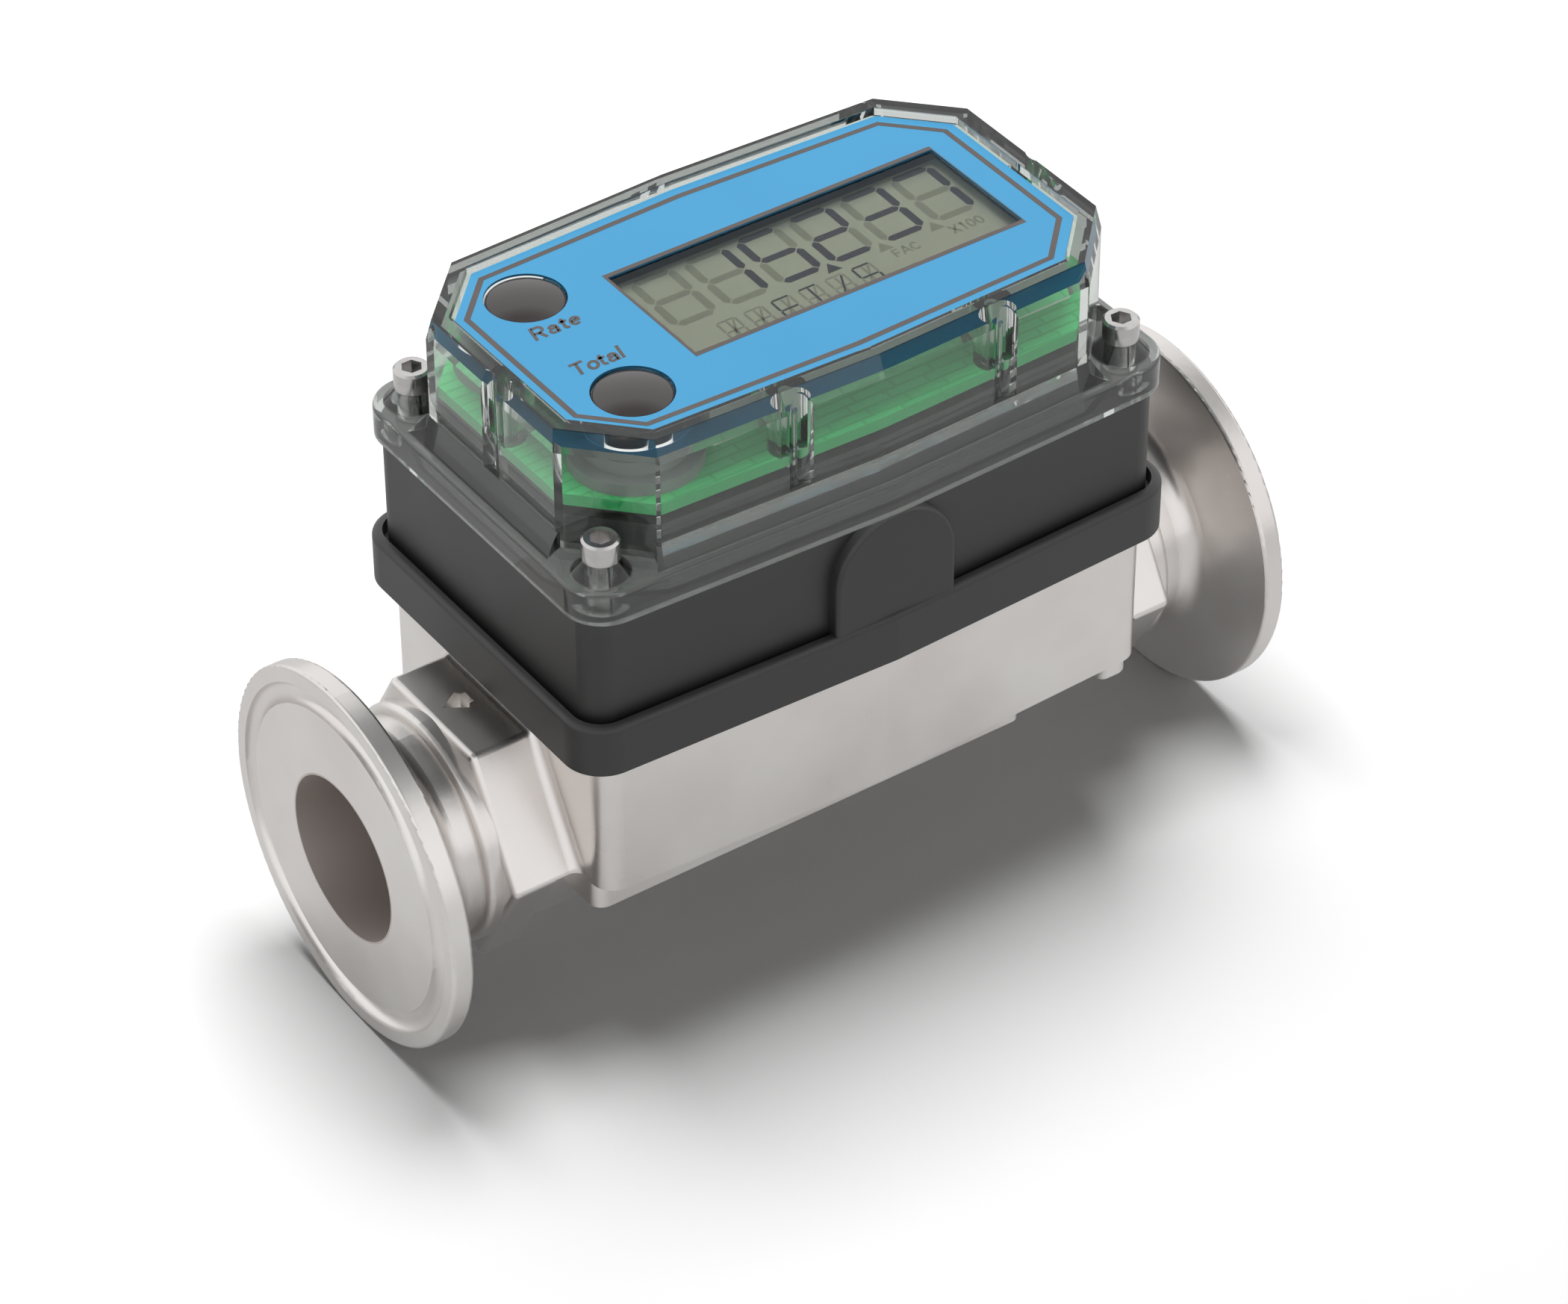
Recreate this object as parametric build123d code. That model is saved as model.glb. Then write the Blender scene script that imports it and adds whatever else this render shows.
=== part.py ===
from build123d import *
import math
import os

# Turbine flow meter: a cast steel pipe run with a clamp ferrule on each end, a black
# electronics housing on its deck and a clear cover over the display. Millimetres, +X along
# the flow, +Z up through the display. The origin is under the middle of the pipe run, level
# with the lowest point of the ferrules.

# Pipe run, from the block's end face outwards
ferrule_d = 50.5
ferrule_rim = 2.85
ferrule_angle = 20.0
ferrule_edge_r = 0.5
bore_d = 22.1
groove_mid_r = 21.8
groove_width = 2.75
groove_depth = 1.2
neck_d = 29.2
neck_len = 8.25
neck_fillet = 3.0
collar_d = 31.6
collar_len = 2.1
collar_edge_r = 1.0
hex_af = 32.0
hex_len = 9.3
hex_undercut = 3.5
hex_corner_r = 1.0
hex_face_r = 0.9
hex_root_r = 1.5
mark_from_end = 5.0
mark_y = 0.65
mark_depth = 1.3
mark_tip = 2.7
mark_side = 1.75
mark_tail = 1.6
mark_valley = 1.2

# Block and lower slab of the casting
block_len = 82.0
block_w = 51.0
block_corner_r = 3.0
block_drop = 0.3
deck_rise = 19.9
slab_len = 82.0
slab_w = 44.0
slab_t = 3.9
slab_corner_r = 2.0
notch_x = 29.8
notch_len = 12.8
notch_in = 4.0
notch_edge_r = 1.2
side_slope = 0.036

# Electronics housing
housing_len = 84.2
housing_w = 51.0
housing_corner_r = 3.3
housing_h = 22.1
housing_wall = 2.6
floor_t = 3.0
shelf_t = 4.0
rim_proud = 2.0
rim_h = 7.0
rim_edge_r = 0.8
rim_groove_w = 0.7
rim_groove_depth = 2.0
boss_half_w = 8.85
boss_proud = 1.5
boss_edge_r = 0.6
upstand_wall = 1.8
upstand_gap = 0.4

# Clear cover
flange_len = 86.4
flange_w = 54.2
flange_corner_r = 5.4
flange_t = 4.3
flange_edge_r = 0.5
band_in = 0.9
band_rise = 2.4
dome_len = 79.9
dome_w = 48.0
corner_cut = 8.8
dome_h = 21.0
bevel_side_in = 1.1
bevel_end_in = 0.5
bevel_h = 3.0
cover_wall = 1.8
recess_depth = 1.1
ceiling_t = 1.9
flute_r = 2.2
flute_out = 1.4
pocket_r = 6.6
post_h = 1.85
post_top_r = 2.1
post_foot_r = 3.7

# Cover screws, number 4 socket heads, and their inserts
cover_screw_x = 38.1
cover_screw_y = 20.6
screw_head_d = 4.65
screw_head_h = 3.1
screw_head_edge = 0.3
screw_socket_af = 2.4
screw_socket_depth = 1.6
screw_shank_d = 2.8
screw_len = 14.0
insert_d = 4.2
insert_len = 6.0
insert_drop = 2.0
column_r = 3.3

# Label
label_t = 0.25
label_side_in = 3.5
label_end_in = 3.3
label_gap = 0.62
window_x = 7.1
window_len = 48.0
window_w = 18.7

# Push buttons, frosted boots and switches
button_x = -27.25
button_y = 11.5
button_d = 9.96
button_clear = 0.07
button_label_clear = 0.09
button_flange_d = 12.0
button_flange_t = 1.0
button_stem_d = 8.0
button_gap = 0.35
button_dome_h = 0.7
button_edge_drop = 0.35
button_edge_r = 0.5
boot_d = 16.0
boot_step_d = 12.4
boot_h = 3.6
boot_step_h = 1.7
boot_hollow_d = 8.4
boot_hollow_h = 2.4
switch_side = 5.2
switch_h = 1.2
switch_cap_d = 2.6
switch_cap_h = 0.3

# Display and circuit board
board_t = 1.6
board_in = 2.05
board_depth = 6.7
lcd_x = 7.4
lcd_len = 50.8
lcd_w = 28.3
lcd_t = 2.4
lcd_gap = 1.25
lcd_clear = 0.1
lcd_frame_wall = 0.8
lcd_ledge = 0.8
zebra_len = 46.0
zebra_w = 2.4
board_screw_left_x = -11.7
board_screw_pitch = 30.2
board_screw_gap = 0.44
board_screw_d = 1.4
board_screw_clear = 0.15
board_screw_head_d = 2.2
board_screw_head_h = 0.9
board_screw_head_edge = 0.3
board_screw_reach = 5.3
board_screw_tip_r = 0.5
board_boss_r = 2.6
board_notch_r = 0.9
boss_lcd_gap = 0.35
upstand_below_board = 1.5
chip_side = 9.0
chip_t = 1.4
chip_x = 5.0

# Battery holder and two AAA cells
cell_d = 10.4
cell_body_len = 43.4
cell_nub_d = 3.6
cell_nub_len = 1.0
cell_pitch = 12.2
cell_clear = 0.25
holder_wall = 1.2
holder_h = 8.4
contact_t = 0.4
contact_w = 8.0
contact_h = 7.6
contact_bump_d = 4.0
contact_bump_h = 0.7

# Rotor, shaft, bearings and vaned supports
rotor_len = 14.0
rotor_hub_d = 6.4
rotor_tip_clear = 0.7
blade_count = 6
blade_t = 1.9
blade_chord = 9.0
blade_angle = 32.0
slug_d = 1.2
slug_len = 2.6
shaft_d = 1.6
shaft_len = 22.0
shaft_end_gap = 0.4
bearing_d = 4.0
bearing_len = 4.0
bearing_proud = 1.0
bearing_clear = 0.05
rotor_end_gap = 0.4
support_len = 17.6
support_wall = 1.4
support_clear = 0.05
support_hub_d = 6.4
support_nose_len = 4.0
vane_count = 4
vane_t = 1.2
ring_t = 1.0
ring_in = 1.1
ring_groove_depth = 0.8
ring_clear = 0.05
ring_gap = 5.0

# Pickup coil above the rotor
pickup_pocket_d = 14.0
pickup_floor_t = 1.6
pickup_clear = 0.2
bobbin_flange_t = 1.0
bobbin_tube_d = 5.0
bobbin_stem_d = 8.0
winding_in = 0.5
core_d = 3.0

# Gaskets and housing screws
body_gasket_in_d = 17.0
body_gasket_w = 1.8
body_gasket_t = 1.2
cover_gasket_in = 0.4
cover_gasket_w = 1.6
cover_gasket_t = 1.2
housing_screw_x = 33.0
housing_screw_y = 13.0
housing_screw_d = 4.0
housing_screw_head_d = 7.0
housing_screw_head_h = 2.4
housing_screw_len = 11.0
housing_screw_slot = 1.0

# Heights and half sizes that follow from them
bore_r = bore_d / 2
axis_z = ferrule_d / 2
hex_end = block_len / 2 + hex_len
half_length = hex_end + collar_len + neck_len + ferrule_rim
deck_z = axis_z + deck_rise
block_z = axis_z - block_drop
slab_z = block_z - slab_t
floor_z = deck_z + floor_t
cover_z = deck_z + housing_h
flange_z = cover_z + flange_t
band_z = flange_z + band_rise
seat_z = flange_z + post_h
dome_z = cover_z + dome_h
recess_z = dome_z - recess_depth
label_z = recess_z + label_t
ceiling_z = recess_z - ceiling_t
board_z = ceiling_z - board_depth
board_under_z = board_z - board_t
lcd_z = ceiling_z - lcd_gap
lcd_under_z = lcd_z - lcd_t
boot_z = board_z + boot_h
upstand_z = board_under_z - upstand_below_board
board_screw_in = cover_wall + board_screw_head_d / 2 + board_screw_gap
pickup_z = axis_z + bore_r + pickup_floor_t
support_x = rotor_len / 2 + rotor_end_gap + bearing_proud
ring_x = support_x + support_len + ring_clear
holder_z = floor_z + holder_wall
cell_z = holder_z + cell_d / 2 + cell_clear


# Shared outlines and simple solids

def outline(points):
    """A flat face through the points."""
    return make_face(Polyline(*points, close=True))


def rounded_at(face, places, radius):
    """The face with the corners nearest the places rounded."""
    corners = [face.vertices().sort_by_distance((x, y, 0))[0] for x, y in places]
    return fillet(corners, radius)


def bowed(half_len, half_w, radius):
    """A long outline whose sides run to a slight peak in the middle, with round corners."""
    end_w = half_w - side_slope * half_len
    corners = [(-half_len, -end_w), (half_len, -end_w), (half_len, end_w), (-half_len, end_w)]
    points = [corners[0], (0, -half_w), corners[1], corners[2], (0, half_w), corners[3]]
    return rounded_at(outline(points), corners, radius)


def cut_corner(side_in, end_in=None):
    """The cover's outline with its corners cut off, moved in at its sides and its ends."""
    if end_in is None:
        end_in = side_in
    half_len = dome_len / 2 - end_in
    half_w = dome_w / 2 - side_in
    cut = corner_cut - (side_in + end_in) / 2 * (2 - math.sqrt(2))
    side_x = half_len - cut
    side_y = half_w - side_slope * side_x
    end_y = half_w - side_slope * half_len - cut
    right = [(side_x, -side_y), (half_len, -end_y), (half_len, end_y), (side_x, side_y)]
    left = [(-x, -y) for x, y in right]
    return outline([(0, -half_w), *right, (0, half_w), *left])


def prism(face, z_low, z_high):
    """The face pulled up between two heights."""
    return extrude(Pos(0, 0, z_low) * face, amount=z_high - z_low)


def tapered(face_low, z_low, face_high, z_high):
    """A straight-sided solid between two outlines."""
    return loft([Pos(0, 0, z_low) * face_low, Pos(0, 0, z_high) * face_high], ruled=True)


def post(radius, z_low, z_high, x=0.0, y=0.0):
    """An upright cylinder."""
    place = Pos(x, y, (z_low + z_high) / 2)
    return place * Cylinder(radius, z_high - z_low)


def block(x_low, x_high, y_low, y_high, z_low, z_high):
    """A box between six planes."""
    middle = Pos((x_low + x_high) / 2, (y_low + y_high) / 2, (z_low + z_high) / 2)
    return middle * Box(x_high - x_low, y_high - y_low, z_high - z_low)


def rod(radius, x_low, x_high):
    """A cylinder along the pipe axis."""
    place = Pos((x_low + x_high) / 2, 0, axis_z) * Rot(0, 90, 0)
    return place * Cylinder(radius, x_high - x_low)


def four_corners(x, y):
    """The four places of a pattern that is the same on all sides."""
    return [(x, y), (-x, y), (-x, -y), (x, -y)]


def both_ends(solid):
    """The solid and its mirror image at the other end of the meter."""
    return [solid, mirror(solid, about=Plane.YZ)]


def board_screw_places():
    """Two screws along the front wall and one at each end, with the flutes outside the wall."""
    front_x = (board_screw_left_x, board_screw_left_x + board_screw_pitch)
    wall_y = [dome_w / 2 - side_slope * abs(x) for x in front_x]
    front = [((x, -y + board_screw_in), (x, -y - flute_out)) for x, y in zip(front_x, wall_y)]
    end_x = dome_len / 2
    ends = [((s * (end_x - board_screw_in), 0), (s * (end_x + flute_out), 0)) for s in (-1, 1)]
    return front + ends


def button_places():
    """Where the two buttons stand: name and place across the cover."""
    return {"rate": button_y, "total": -button_y}


# Casting

def pipe_end():
    """The collar, neck and clamp ferrule at the +X end, turned about the pipe axis."""
    rim_x = half_length - ferrule_rim
    neck_r = neck_d / 2
    collar_r = collar_d / 2
    collar_x = hex_end + collar_len
    cone_run = (ferrule_d / 2 - neck_r) * math.tan(math.radians(ferrule_angle))
    neck_end = (rim_x - cone_run, neck_r)
    rim_back = (rim_x, ferrule_d / 2)
    rim_face = (half_length, ferrule_d / 2)
    collar_edge = (collar_x, collar_r)
    neck_start = (collar_x, neck_r)
    inner_x = hex_end - hex_len / 2
    points = [(inner_x, 0), (inner_x, collar_r), collar_edge, neck_start]
    points += [neck_end, rim_back, rim_face, (half_length, 0)]
    face = outline(points)
    face = rounded_at(face, [neck_end], neck_fillet)
    face = rounded_at(face, [collar_edge], collar_edge_r)
    face = rounded_at(face, [rim_back, rim_face], ferrule_edge_r)
    turned = revolve(Plane.XZ * face, axis=Axis.X)
    groove_r = (groove_width ** 2 / 4 + groove_depth ** 2) / (2 * groove_depth)
    groove_x = half_length + groove_r - groove_depth
    groove = Pos(groove_x, 0, 0) * Rot(0, 90, 0) * Torus(groove_mid_r, groove_r)
    return Pos(0, 0, axis_z) * (turned - groove)


def hex_end_solid():
    """The wrench hexagon at the +X end, blended into the block and cut back underneath."""
    hexagon = RegularPolygon(hex_af / 2, 6, major_radius=False)
    hexagon = fillet(hexagon.vertices(), hex_corner_r)
    face_x = block_len / 2
    whole = Pos(face_x, 0, axis_z) * extrude(Plane.YZ * hexagon, amount=hex_len)
    end_face = whole.faces().sort_by(Axis.X)[-1]
    whole = fillet(end_face.edges(), hex_face_r)
    start_x = face_x - hex_root_r
    whole += block(start_x, face_x, -hex_af, hex_af, axis_z - hex_af, axis_z + hex_af)
    middle = Vector(face_x, 0, axis_z)
    in_plane = whole.edges().filter_by_position(Axis.X, face_x - hex_face_r / 2, face_x + hex_face_r / 2)
    root = in_plane.filter_by(lambda edge: (edge.center() - middle).length < hex_af * 0.75)
    whole = fillet(root, hex_root_r)
    reach = hex_af * 0.65
    upper = block(start_x, hex_end, -reach, reach, axis_z, deck_z - hex_root_r / 2)
    lower = block(face_x + hex_undercut, hex_end, -reach, reach, axis_z - reach, axis_z)
    return whole & (upper + lower)


def cast_mark():
    """A small leaf with five points, sunk in the top flat of the inlet hexagon."""
    half = [(180, mark_tip), (87, mark_side), (62, mark_valley), (40, mark_tail), (0, mark_valley)]
    other_half = [(-turn, reach) for turn, reach in half[-2:0:-1]]
    turns = [(math.radians(turn), reach) for turn, reach in half + other_half]
    points = [(reach * math.cos(turn), reach * math.sin(turn)) for turn, reach in turns]
    top = axis_z + hex_af / 2
    leaf = prism(outline(points), top - mark_depth, top + mark_depth)
    return Pos(mark_from_end - hex_end, mark_y, 0) * leaf


def lower_slab():
    """The slab under the block, with a notch in its front edge."""
    places = four_corners(slab_len / 2, slab_w / 2)
    slab = rounded_at(outline(places), places, slab_corner_r)
    notch = Pos(notch_x, -slab_w / 2) * Rectangle(notch_len, 2 * notch_in)
    slab -= notch
    mouth = [(notch_x + s * notch_len / 2, -slab_w / 2) for s in (-1, 1)]
    return prism(rounded_at(slab, mouth, notch_edge_r), slab_z, block_z)


def meter_body():
    body = prism(bowed(block_len / 2, block_w / 2, block_corner_r), block_z, deck_z)
    body += lower_slab()
    body += rod(collar_d / 2, -hex_end + hex_face_r, hex_end - hex_face_r)
    for part in both_ends(hex_end_solid()) + both_ends(pipe_end()):
        body += part
    body -= rod(bore_r, -half_length, half_length)
    for s in (-1, 1):
        ends = sorted((s * (ring_x - ring_clear), s * (ring_x + ring_t + ring_clear)))
        body -= rod(bore_r + ring_groove_depth, *ends)
    body -= cast_mark()
    body -= post(pickup_pocket_d / 2, pickup_z, deck_z)
    body -= gasket_ring()
    for x, y in four_corners(housing_screw_x, housing_screw_y):
        body -= post(housing_screw_d / 2, floor_z - housing_screw_len, deck_z, x, y)
    return body


# Flow internals

def vaned_support():
    """The +X support: a sleeve in the bore, four vanes and a hub with a rounded nose."""
    end_x = support_x + support_len
    sleeve = rod(bore_r - support_clear, support_x, end_x)
    sleeve -= rod(bore_r - support_clear - support_wall, support_x, end_x)
    nose_x = end_x - support_nose_len
    hub = rod(support_hub_d / 2, support_x, nose_x)
    nose = Pos(nose_x, 0, axis_z) * Rot(0, 90, 0)
    tip_r = support_hub_d / 6
    nose_solid = nose * Pos(0, 0, support_nose_len / 2) * Cone(support_hub_d / 2, tip_r, support_nose_len)
    hub += nose_solid
    vane_r = bore_r - support_clear - support_wall / 2
    for i in range(vane_count):
        turn = 45 + i * 360 / vane_count
        vane = block(support_x, nose_x, 0, vane_r, -vane_t / 2, vane_t / 2)
        hub += Pos(0, 0, axis_z) * Rot(turn, 0, 0) * vane
    support = sleeve + hub
    support -= rod(bearing_d / 2, support_x, bearing_end_x())
    return support - rod(shaft_d / 2 + shaft_end_gap, support_x, shaft_len / 2 + shaft_end_gap)


def bearing_end_x():
    """Where the bearing ends inside the hub."""
    return support_x - bearing_proud + bearing_len


def shaft_bearing():
    start = support_x - bearing_proud
    sleeve = rod(bearing_d / 2, start, bearing_end_x())
    return sleeve - rod(shaft_d / 2 + bearing_clear, start, bearing_end_x())


def retaining_ring():
    """An open spring ring in the groove of the bore."""
    outer_r = bore_r + ring_groove_depth - ring_clear
    ring = rod(outer_r, ring_x, ring_x + ring_t)
    ring -= rod(bore_r - ring_in, ring_x, ring_x + ring_t)
    mouth = block(ring_x, ring_x + ring_t, -ring_gap / 2, ring_gap / 2, 0, axis_z)
    return ring - mouth


def blade(turn):
    """One flat blade, set at an angle to the flow."""
    plate = block(-blade_chord / 2, blade_chord / 2, -blade_t / 2, blade_t / 2, 0, bore_r)
    return Pos(0, 0, axis_z) * Rot(turn, 0, 0) * Rot(0, 0, blade_angle) * plate


def slug(turn):
    """A magnetic slug, flush with the tip of one blade."""
    tip_r = bore_r - rotor_tip_clear
    pin = post(slug_d / 2, tip_r - slug_len, tip_r + slug_d)
    return Pos(0, 0, axis_z) * Rot(turn, 0, 0) * pin & rod(tip_r, -slug_d, slug_d)


def blade_turns():
    return [i * 360 / blade_count for i in range(blade_count)]


def rotor():
    hub = rod(rotor_hub_d / 2, -rotor_len / 2, rotor_len / 2)
    blades = blade(blade_turns()[0])
    for turn in blade_turns()[1:]:
        blades += blade(turn)
    blades &= rod(bore_r - rotor_tip_clear, -rotor_len / 2, rotor_len / 2)
    wheel = hub + blades
    for turn in blade_turns():
        wheel -= slug(turn)
    return wheel - rod(shaft_d / 2, -rotor_len / 2, rotor_len / 2)


def rotor_slugs():
    return [slug(turn) for turn in blade_turns()]


def rotor_shaft():
    return rod(shaft_d / 2, -shaft_len / 2, shaft_len / 2)


# Pickup coil

def bobbin_heights():
    """Foot and top of the space between the bobbin's two flanges."""
    return pickup_z + bobbin_flange_t, deck_z - bobbin_flange_t


def coil_bobbin():
    flange_r = pickup_pocket_d / 2 - pickup_clear
    low, high = bobbin_heights()
    spool = post(flange_r, pickup_z, low) + post(flange_r, high, deck_z)
    spool += post(bobbin_tube_d / 2, low, high)
    spool += post(bobbin_stem_d / 2, deck_z, floor_z)
    return spool - post(core_d / 2, pickup_z, floor_z)


def coil_winding():
    low, high = bobbin_heights()
    outer_r = pickup_pocket_d / 2 - pickup_clear - winding_in
    return post(outer_r, low, high) - post(bobbin_tube_d / 2, low, high)


def coil_core():
    return post(core_d / 2, pickup_z, floor_z)


# Gaskets and fasteners below the cover

def gasket_ring():
    """The square ring that seals the housing to the casting around the pickup."""
    inner = body_gasket_in_d / 2
    ring = post(inner + body_gasket_w, deck_z - body_gasket_t, deck_z)
    return ring - post(inner, deck_z - body_gasket_t, deck_z)


def cover_gasket():
    """The cord between cover and housing, following the cover's outline."""
    low = cover_z - cover_gasket_t
    cord = prism(cut_corner(cover_gasket_in), low, cover_z)
    return cord - prism(cut_corner(cover_gasket_in + cover_gasket_w), low, cover_z)


def housing_screws():
    screws = []
    for x, y in four_corners(housing_screw_x, housing_screw_y):
        top = floor_z + housing_screw_head_h
        screw = post(housing_screw_d / 2, floor_z - housing_screw_len, floor_z, x, y)
        screw += post(housing_screw_head_d / 2, floor_z, top, x, y)
        half = housing_screw_slot / 2
        reach = housing_screw_head_d
        screw -= block(x - reach, x + reach, y - half, y + half, top - housing_screw_slot, top)
        screws.append(screw)
    return screws


def threaded_inserts():
    inserts = []
    for x, y in four_corners(cover_screw_x, cover_screw_y):
        low = cover_z - insert_drop - insert_len
        high = cover_z - insert_drop
        insert = post(insert_d / 2, low, high, x, y)
        inserts.append(insert - post(screw_shank_d / 2, low, high, x, y))
    return inserts


# Housing

def front_boss():
    """The arched boss in the middle of the front wall."""
    arch_z = cover_z - boss_half_w
    face_y = -(housing_w / 2 + boss_proud)
    inner_y = -(housing_w / 2 - housing_wall / 2)
    plate = block(-boss_half_w, boss_half_w, face_y, inner_y, deck_z + rim_h / 2, arch_z)
    arch = Pos(0, (face_y + inner_y) / 2, arch_z) * Rot(90, 0, 0) * Cylinder(boss_half_w, inner_y - face_y)
    solid = plate + arch
    front = solid.faces().sort_by(Axis.Y)[0]
    return fillet(front.edges(), boss_edge_r)


def housing_rim():
    """The skirt around the foot of the housing, with a groove between it and the wall."""
    half_len = housing_len / 2
    half_w = housing_w / 2
    top = deck_z + rim_h
    outer = bowed(half_len + rim_proud, half_w + rim_proud, housing_corner_r + rim_proud)
    skirt = prism(outer, deck_z, top)
    top_face = skirt.faces().sort_by(Axis.Z)[-1]
    skirt = fillet(top_face.edges(), rim_edge_r)
    groove_r = housing_corner_r + rim_groove_w
    groove = bowed(half_len + rim_groove_w, half_w + rim_groove_w, groove_r)
    return skirt - prism(groove, top - rim_groove_depth, top)


def housing():
    half_len = housing_len / 2
    half_w = housing_w / 2
    shell = housing_rim()
    shell += prism(bowed(half_len, half_w, housing_corner_r), deck_z, cover_z)
    shell += front_boss()
    inner_r = max(housing_corner_r - housing_wall, housing_wall / 4)
    hollow = bowed(half_len - housing_wall, half_w - housing_wall, inner_r)
    shell -= prism(hollow, floor_z, cover_z - shelf_t)
    for x, y in four_corners(cover_screw_x, cover_screw_y):
        column = post(column_r, floor_z, cover_z, x, y)
        shell += column & prism(bowed(half_len, half_w, housing_corner_r), floor_z, cover_z)
    stand_in = cover_wall + upstand_gap
    shell += prism(cut_corner(stand_in), cover_z - shelf_t, upstand_z)
    shell -= prism(cut_corner(stand_in + upstand_wall), cover_z - shelf_t, upstand_z)
    shell -= cover_gasket()
    for x, y in four_corners(cover_screw_x, cover_screw_y):
        shell -= post(screw_shank_d / 2, seat_z - screw_len, cover_z, x, y)
        shell -= post(insert_d / 2, cover_z - insert_drop - insert_len, cover_z, x, y)
    for x, y in four_corners(housing_screw_x, housing_screw_y):
        shell -= post(housing_screw_d / 2, deck_z, floor_z, x, y)
    return shell - post(bobbin_stem_d / 2, deck_z, floor_z)


# Clear cover

def cover_flange():
    """The flange with its sloping band and a scooped pocket at each screw."""
    half_len = flange_len / 2
    half_w = flange_w / 2
    plate = prism(bowed(half_len, half_w, flange_corner_r), cover_z, flange_z)
    top_face = plate.faces().sort_by(Axis.Z)[-1]
    plate = fillet(top_face.edges(), flange_edge_r)
    foot = bowed(half_len - band_in, half_w - band_in, flange_corner_r - band_in)
    head = bowed(dome_len / 2, dome_w / 2, flange_corner_r - band_in)
    band = tapered(foot, flange_z, head, band_z)
    for x, y in four_corners(cover_screw_x, cover_screw_y):
        band -= post(pocket_r, flange_z, band_z, x, y)
    return plate + band


def cover():
    shell = cover_flange()
    bevel_z = dome_z - bevel_h
    shell += prism(cut_corner(0), cover_z, bevel_z)
    shell += tapered(cut_corner(0), bevel_z, cut_corner(bevel_side_in, bevel_end_in), dome_z)
    shell -= prism(cut_corner(cover_wall), cover_z, ceiling_z)
    recess = cut_corner(label_side_in - label_gap, label_end_in - label_gap)
    shell -= prism(recess, recess_z, dome_z)
    room = prism(cut_corner(cover_wall / 2), board_z, ceiling_z)
    for (x, y), (flute_x, flute_y) in board_screw_places():
        shell += post(board_boss_r, board_z, ceiling_z, x, y) & room
        shell -= post(flute_r, band_z, dome_z, flute_x, flute_y)
        hole_r = board_screw_d / 2 + board_screw_clear
        shell -= post(hole_r, board_z, board_z + board_screw_reach + board_screw_clear, x, y)
    shell -= lcd_box(lcd_clear + lcd_frame_wall + boss_lcd_gap, board_z, ceiling_z)
    for x, y in four_corners(cover_screw_x, cover_screw_y):
        cone = Cone(post_foot_r, post_top_r, post_h)
        shell += Pos(x, y, flange_z + post_h / 2) * cone
        shell -= post(screw_shank_d / 2, cover_z, seat_z, x, y)
    for y in button_places().values():
        shell -= post(button_d / 2 + button_clear, ceiling_z, recess_z, button_x, y)
    return shell


def cover_screws():
    screws = []
    hexagon = RegularPolygon(screw_socket_af / 2, 6, major_radius=False)
    for x, y in four_corners(cover_screw_x, cover_screw_y):
        top = seat_z + screw_head_h
        screw = post(screw_head_d / 2, seat_z, top, x, y)
        screw = chamfer(screw.edges().filter_by(GeomType.CIRCLE), screw_head_edge)
        screw += post(screw_shank_d / 2, seat_z - screw_len, seat_z, x, y)
        screw -= Pos(x, y, 0) * prism(hexagon, top - screw_socket_depth, top)
        screws.append(screw)
    return screws


def label():
    sheet = prism(cut_corner(label_side_in, label_end_in), recess_z, label_z)
    half_len = window_len / 2
    half_w = window_w / 2
    sheet -= block(window_x - half_len, window_x + half_len, -half_w, half_w, recess_z, label_z)
    for y in button_places().values():
        sheet -= post(button_d / 2 + button_label_clear, recess_z, label_z, button_x, y)
    return sheet


# Buttons

def push_button(y):
    """A button with a domed top, held under the cover by its flange."""
    edge_z = label_z - button_edge_drop
    flange_top = ceiling_z - button_gap
    solid = post(button_d / 2, flange_top, edge_z, button_x, y)
    solid += post(button_flange_d / 2, flange_top - button_flange_t, flange_top, button_x, y)
    solid += post(button_stem_d / 2, boot_z, flange_top - button_flange_t, button_x, y)
    dome_r = ((button_d / 2) ** 2 + button_dome_h ** 2) / (2 * button_dome_h)
    ball = Pos(button_x, y, edge_z + button_dome_h - dome_r) * Sphere(dome_r)
    solid += ball & post(button_d / 2, edge_z, label_z + button_dome_h, button_x, y)
    rim = solid.edges().filter_by_position(Axis.Z, edge_z - button_clear, edge_z + button_clear)
    return fillet(rim.filter_by(GeomType.CIRCLE), button_edge_r)


def boot(y):
    """A soft stepped cap over the switch."""
    solid = post(boot_d / 2, board_z, board_z + boot_step_h, button_x, y)
    solid += post(boot_step_d / 2, board_z, boot_z, button_x, y)
    return solid - post(boot_hollow_d / 2, board_z, board_z + boot_hollow_h, button_x, y)


def switch(y):
    half = switch_side / 2
    base = block(button_x - half, button_x + half, y - half, y + half, board_z, board_z + switch_h)
    return base + post(switch_cap_d / 2, board_z, board_z + switch_h + switch_cap_h, button_x, y)


# Display and board

def circuit_board():
    board = prism(cut_corner(board_in), board_under_z, board_z)
    for (x, y), (flute_x, flute_y) in board_screw_places():
        board -= post(board_notch_r, board_under_z, board_z, x, y)
        half = board_notch_r
        if y:
            board -= block(x - half, x + half, flute_y, y, board_under_z, board_z)
        else:
            ends = sorted((x, flute_x))
            board -= block(*ends, -half, half, board_under_z, board_z)
    return board


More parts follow.
